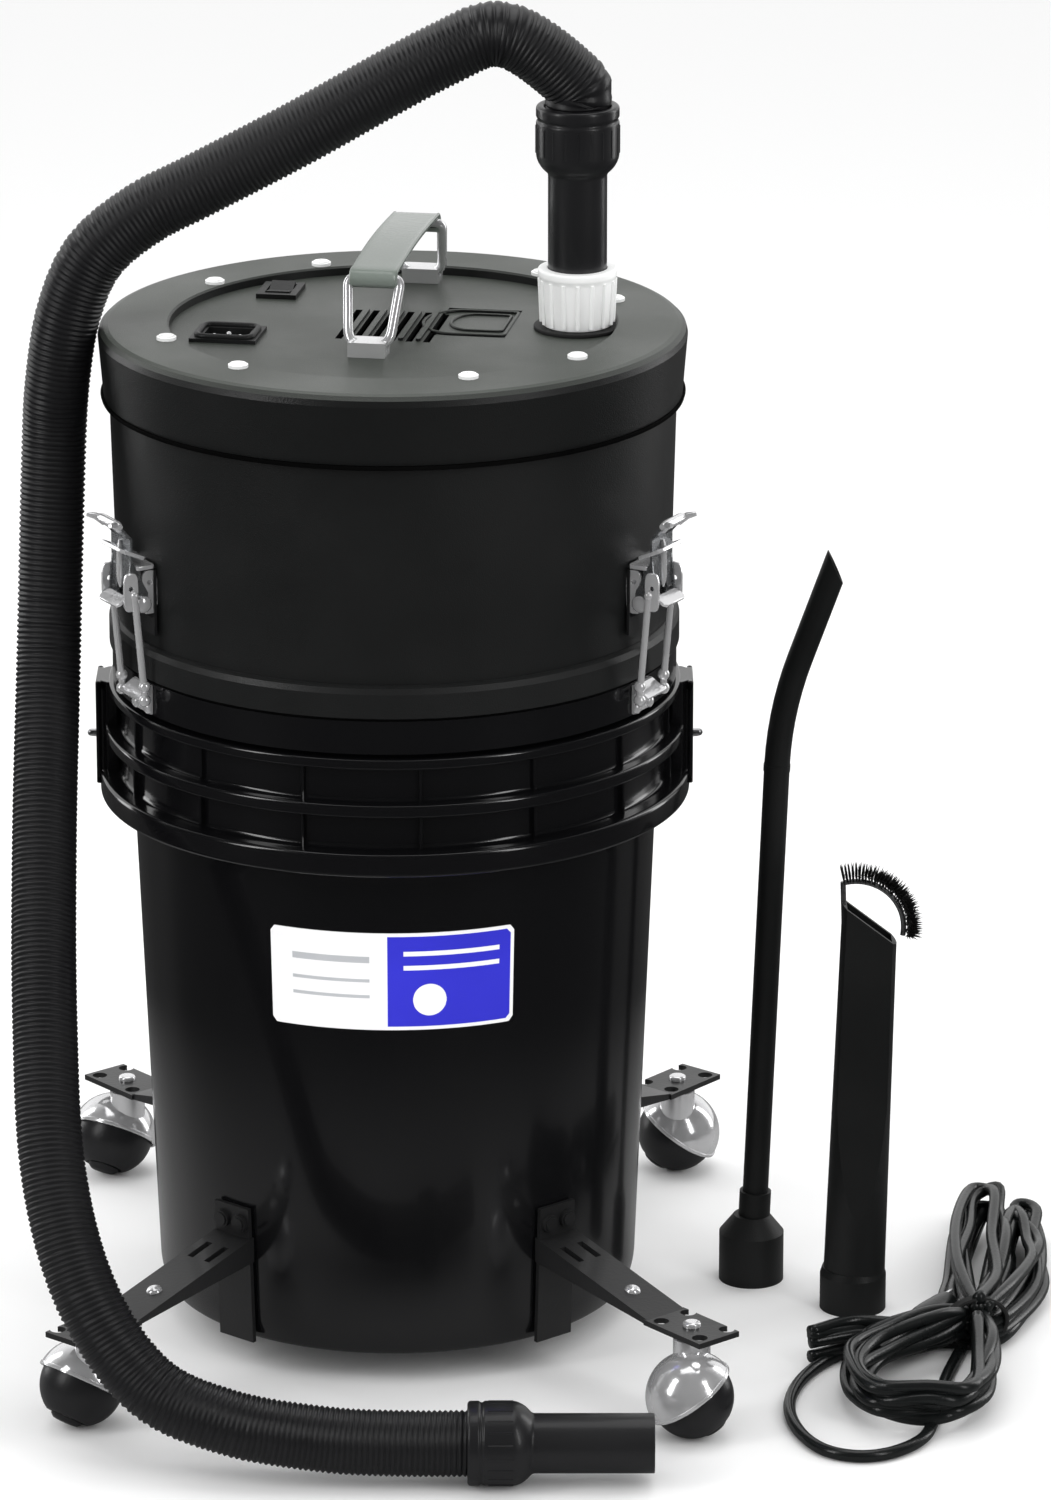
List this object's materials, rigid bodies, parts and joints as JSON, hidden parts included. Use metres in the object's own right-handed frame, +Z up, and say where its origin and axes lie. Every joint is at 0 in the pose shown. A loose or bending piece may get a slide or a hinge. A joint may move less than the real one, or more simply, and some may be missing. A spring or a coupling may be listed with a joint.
{
  "type": "wheeled dust collector",
  "caption": "Pail-bodied wheeled dust collector with a latched motor head, top hose port, ribbed hose, ball casters and loose suction tools",
  "frame": {"origin": "on the floor under the pail's axis", "axes": "+Z up along the pail's axis, front with the label towards -Y, hose port towards +X"},
  "size_m": [0.5832, 0.5091, 0.7334],
  "materials": {
    "black_gloss": "gloss",
    "label_film": "gloss",
    "wire_steel": "drawn wire",
    "black_matte": "fine texture",
    "lid_grey": "fine texture",
    "white_plastic": "smooth",
    "rubber_black": "matte",
    "hose_black": "ribbed",
    "zinc": "bright",
    "painted_steel": "satin black",
    "filter_paper": "pleated",
    "motor_metal": "cast",
    "ball_tyre": "satin",
    "grip_grey": "satin",
    "cord_black": "satin"
  },
  "bodies": {
    "pail": {"bucket": "black_gloss", "label": "label_film", "arm_front_right": "painted_steel", "arm_front_left": "painted_steel", "arm_back_right": "painted_steel", "arm_back_left": "painted_steel", "arm_bolts": "zinc", "arm_nuts": "zinc", "caster_collars": "zinc"},
    "bail": {"bail_wire": "wire_steel", "bail_grip": "black_matte"},
    "head": {"adapter_ring": "black_gloss", "keeper_hooks": "zinc", "keeper_rivets": "zinc", "head_seal": "rubber_black", "housing": "black_matte", "lid": "lid_grey", "lid_screws": "white_plastic", "inlet_duct": "black_matte", "filter_element": "filter_paper", "filter_end_cap": "black_matte", "motor_plate": "motor_metal", "motor_shell": "motor_metal", "power_inlet": "black_matte", "switch_bezel": "black_matte", "port_gasket": "rubber_black", "port_adapter": "white_plastic", "handle_feet": "black_matte", "handle_screws": "motor_metal", "handle_loops": "zinc", "handle_grip": "grip_grey", "latch_bases": "zinc", "latch_rivets": "zinc", "latch_pins": "zinc"},
    "fan": {"motor_fan": "motor_metal"},
    "rocker_button": {"rocker": "black_matte"},
    "hose_line": {"upper_cuff": "hose_black", "hose": "hose_black"},
    "hose_end": {"tool_cuff": "hose_black"},
    "wand": {"wand_cuff": "black_matte", "wand_tube": "black_matte"},
    "nozzle": {"crevice_nozzle": "black_matte", "crevice_brush": "black_matte"},
    "cord": {"power_cord": "cord_black", "cord_tie": "cord_black"},
    "caster_front_right": {"hood_front_right": "zinc"},
    "ball_front_right": {"wheel_front_right": "ball_tyre"},
    "caster_front_left": {"hood_front_left": "zinc"},
    "ball_front_left": {"wheel_front_left": "ball_tyre"},
    "caster_back_right": {"hood_back_right": "zinc"},
    "ball_back_right": {"wheel_back_right": "ball_tyre"},
    "caster_back_left": {"hood_back_left": "zinc"},
    "ball_back_left": {"wheel_back_left": "ball_tyre"},
    "lever_body_left": {"lever_left": "zinc"},
    "loop_body_left": {"loop_left": "zinc"},
    "lever_body_right": {"lever_right": "zinc"},
    "loop_body_right": {"loop_right": "zinc"},
    "lever_body_back": {"lever_back": "zinc"},
    "loop_body_back": {"loop_back": "zinc"}
  },
  "joints": [
    {"name": "swivel_front_right", "type": "hinge", "parent": "pail", "child": "caster_front_right", "pos_m": [0.15877, -0.18921, 0.05], "axis": [0, 0, 1], "continuous": true},
    {"name": "roll_front_right", "type": "hinge", "parent": "caster_front_right", "child": "ball_front_right", "pos_m": [0.15877, -0.19921, 0.0225], "axis": [0.5736, 0, -0.8192], "continuous": true},
    {"name": "swivel_front_left", "type": "hinge", "parent": "pail", "child": "caster_front_left", "pos_m": [-0.15877, -0.18921, 0.05], "axis": [0, 0, 1], "continuous": true},
    {"name": "roll_front_left", "type": "hinge", "parent": "caster_front_left", "child": "ball_front_left", "pos_m": [-0.16584, -0.18214, 0.0225], "axis": [-0.4056, -0.4056, -0.8192], "continuous": true},
    {"name": "swivel_back_right", "type": "hinge", "parent": "pail", "child": "caster_back_right", "pos_m": [0.15877, 0.18921, 0.05], "axis": [0, 0, 1], "continuous": true},
    {"name": "roll_back_right", "type": "hinge", "parent": "caster_back_right", "child": "ball_back_right", "pos_m": [0.15877, 0.19921, 0.0225], "axis": [-0.5736, 0, -0.8192], "continuous": true},
    {"name": "swivel_back_left", "type": "hinge", "parent": "pail", "child": "caster_back_left", "pos_m": [-0.15877, 0.18921, 0.05], "axis": [0, 0, 1], "continuous": true},
    {"name": "roll_back_left", "type": "hinge", "parent": "caster_back_left", "child": "ball_back_left", "pos_m": [-0.16743, 0.19421, 0.0225], "axis": [-0.2868, -0.4967, -0.8192], "continuous": true},
    {"name": "bail_swing", "type": "hinge", "parent": "pail", "child": "bail", "pos_m": [0, 0, 0.329], "axis": [1, 0, 0], "range_deg": [0, 30]},
    {"name": "head_lift", "type": "slide", "parent": "pail", "child": "head", "axis": [0, 0, 1], "range_m": [0, 0.12]},
    {"name": "fan_spin", "type": "hinge", "parent": "head", "child": "fan", "pos_m": [0, 0, 0.4], "axis": [0, 0, 1], "continuous": true},
    {"name": "rocker_tip", "type": "hinge", "parent": "head", "child": "rocker_button", "pos_m": [-0.06209, 0.07731, 0.555], "axis": [0.9863, -0.165, 0], "range_deg": [-8, 0]},
    {"name": "lever_swing_left", "type": "hinge", "parent": "head", "child": "lever_body_left", "pos_m": [-0.13683, -0.079, 0.428], "axis": [0.5, -0.866, 0], "range_deg": [0, 100]},
    {"name": "loop_swing_left", "type": "hinge", "parent": "lever_body_left", "child": "loop_body_left", "pos_m": [-0.14203, -0.082, 0.434], "axis": [0.5, -0.866, 0], "range_deg": [-100, 0]},
    {"name": "lever_swing_right", "type": "hinge", "parent": "head", "child": "lever_body_right", "pos_m": [0.13683, -0.079, 0.428], "axis": [0.5, 0.866, 0], "range_deg": [0, 100]},
    {"name": "loop_swing_right", "type": "hinge", "parent": "lever_body_right", "child": "loop_body_right", "pos_m": [0.14203, -0.082, 0.434], "axis": [0.5, 0.866, 0], "range_deg": [-100, 0]},
    {"name": "lever_swing_back", "type": "hinge", "parent": "head", "child": "lever_body_back", "pos_m": [0, 0.158, 0.428], "axis": [-1, 0, 0], "range_deg": [0, 100]},
    {"name": "loop_swing_back", "type": "hinge", "parent": "lever_body_back", "child": "loop_body_back", "pos_m": [0, 0.164, 0.434], "axis": [-1, 0, 0], "range_deg": [-100, 0]},
    {"name": "hose_pull", "type": "slide", "parent": "head", "child": "hose_line", "axis": [0, 0, 1], "range_m": [0, 0.06]},
    {"name": "tool_end_turn", "type": "hinge", "parent": "hose_line", "child": "hose_end", "pos_m": [0.06, -0.263, 0.0225], "axis": [1, 0, 0], "continuous": true},
    {"name": "wand_lift", "type": "slide", "parent": "pail", "child": "wand", "axis": [0, 0, 1], "range_m": [0, 0.25]},
    {"name": "nozzle_lift", "type": "slide", "parent": "pail", "child": "nozzle", "axis": [0, 0, 1], "range_m": [0, 0.25]},
    {"name": "cord_lift", "type": "slide", "parent": "pail", "child": "cord", "axis": [0, 0, 1], "range_m": [0, 0.25]}
  ],
  "couplings": [
    {"joint": "loop_swing_left", "follows": "lever_swing_left", "ratio": -1},
    {"joint": "loop_swing_right", "follows": "lever_swing_right", "ratio": -1},
    {"joint": "loop_swing_back", "follows": "lever_swing_back", "ratio": -1}
  ]
}
